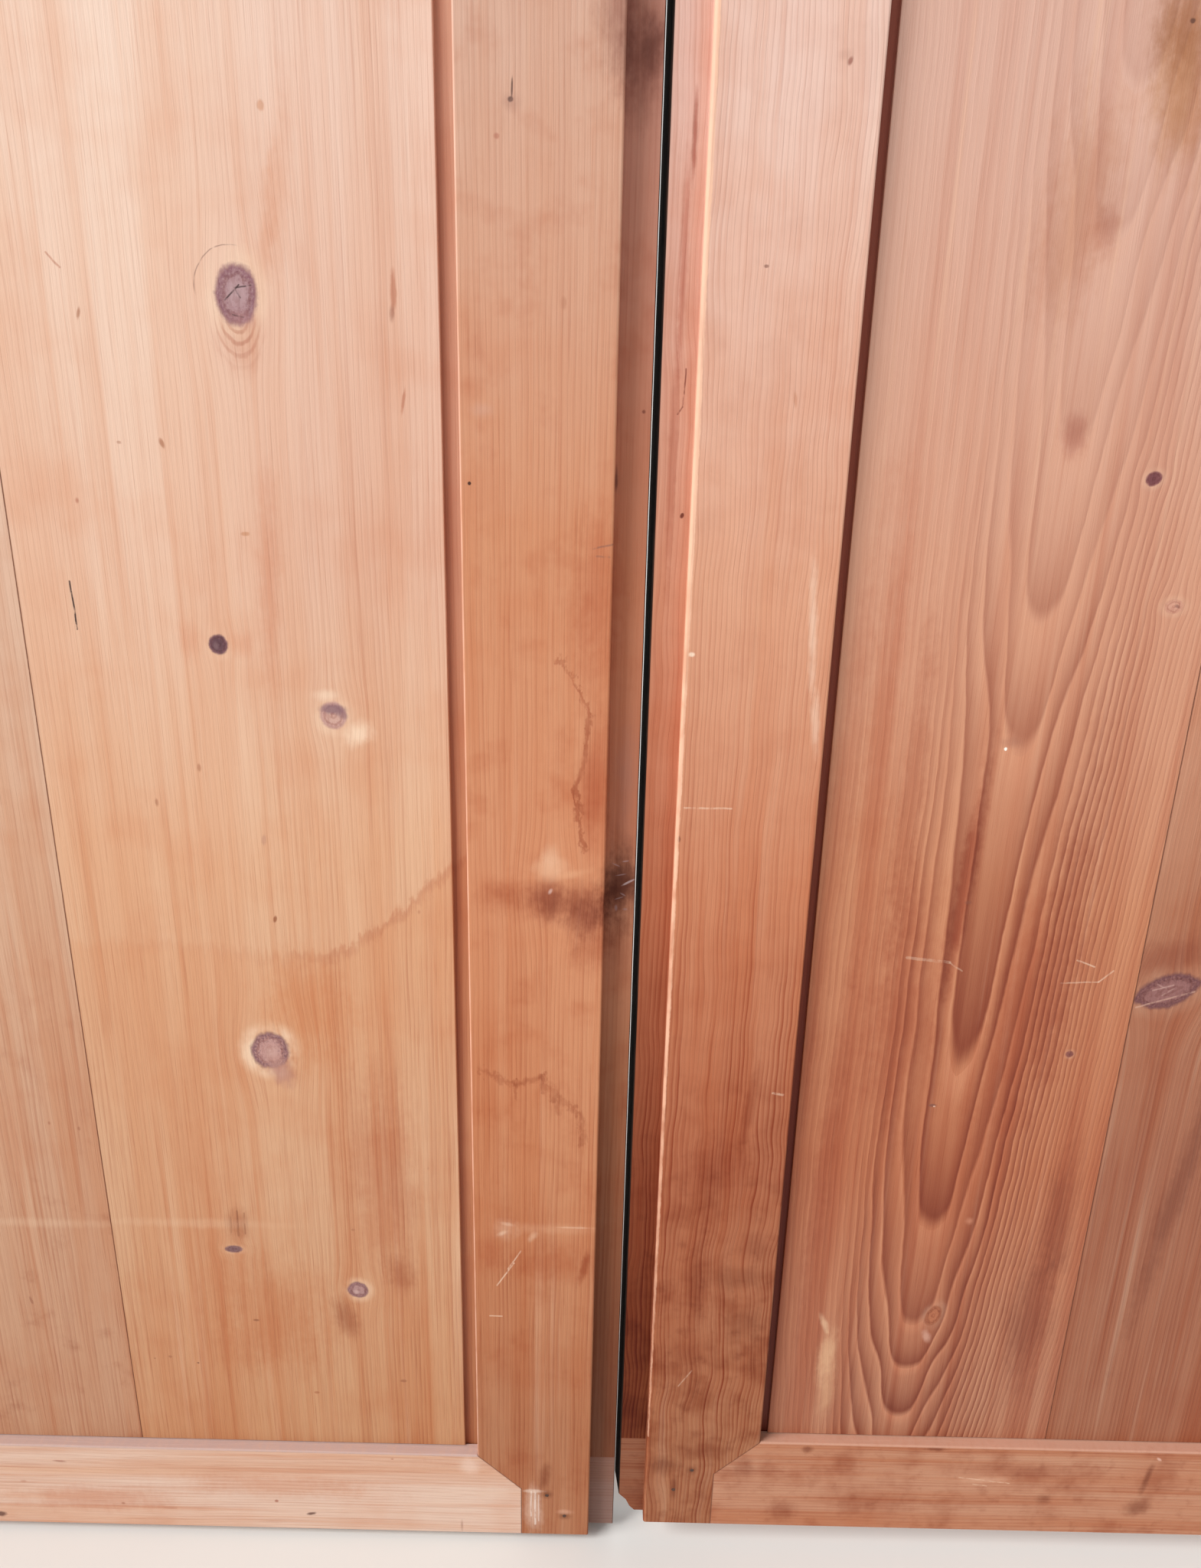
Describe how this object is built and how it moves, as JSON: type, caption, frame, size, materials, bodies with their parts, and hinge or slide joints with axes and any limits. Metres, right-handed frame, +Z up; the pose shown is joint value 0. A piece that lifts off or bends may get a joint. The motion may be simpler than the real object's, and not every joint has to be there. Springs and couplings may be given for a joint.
{
  "type": "barn door",
  "caption": "Pair of framed pine panel door leaves, hung on butt hinges in a plain rebated timber frame.",
  "frame": {"origin": "on the floor, in the middle of the frame's width and of the whole depth", "axes": "+Z up, +X to the right seen from the front, +Y towards the back; both leaves open towards -Y"},
  "size_m": [1.7006, 0.1064, 2.066],
  "materials": {
    "left_frame_pine": "satin",
    "left_panel_pine": "satin",
    "right_frame_pine": "satin",
    "right_panel_pine": "satin",
    "frame_pine": "satin",
    "hinge_steel": "dull",
    "nail_iron": "rusted"
  },
  "bodies": {
    "frame": {"head": "frame_pine", "head_pegs": "frame_pine", "left_jamb": "frame_pine", "left_frame_screws": "hinge_steel", "left_lower_frame_flap": "hinge_steel", "left_lower_pin": "hinge_steel", "left_middle_frame_flap": "hinge_steel", "left_middle_pin": "hinge_steel", "left_upper_frame_flap": "hinge_steel", "left_upper_pin": "hinge_steel", "right_jamb": "frame_pine", "right_frame_screws": "hinge_steel", "right_lower_frame_flap": "hinge_steel", "right_lower_pin": "hinge_steel", "right_middle_frame_flap": "hinge_steel", "right_middle_pin": "hinge_steel", "right_upper_frame_flap": "hinge_steel", "right_upper_pin": "hinge_steel"},
    "left_leaf": {"left_meeting_stile": "left_frame_pine", "left_hinge_stile": "left_frame_pine", "left_bottom_rail": "left_frame_pine", "left_top_rail": "left_frame_pine", "left_inner_board": "left_panel_pine", "left_outer_board": "left_panel_pine", "left_corner_nails": "nail_iron", "left_leaf_screws": "hinge_steel", "left_lower_leaf_flap": "hinge_steel", "left_middle_leaf_flap": "hinge_steel", "left_upper_leaf_flap": "hinge_steel"},
    "right_leaf": {"right_meeting_stile": "right_frame_pine", "right_hinge_stile": "right_frame_pine", "right_bottom_rail": "right_frame_pine", "right_top_rail": "right_frame_pine", "right_inner_board": "right_panel_pine", "right_outer_board": "right_panel_pine", "right_corner_nails": "nail_iron", "right_leaf_screws": "hinge_steel", "right_lower_leaf_flap": "hinge_steel", "right_middle_leaf_flap": "hinge_steel", "right_upper_leaf_flap": "hinge_steel"}
  },
  "joints": [
    {"name": "left_leaf_hinges", "type": "hinge", "parent": "frame", "child": "left_leaf", "pos_m": [-0.7938, -0.04775, 1], "axis": [0, 0, -1], "range_deg": [0, 170]},
    {"name": "right_leaf_hinges", "type": "hinge", "parent": "frame", "child": "right_leaf", "pos_m": [0.7938, -0.04775, 1], "axis": [0, 0, 1], "range_deg": [0, 170]}
  ]
}
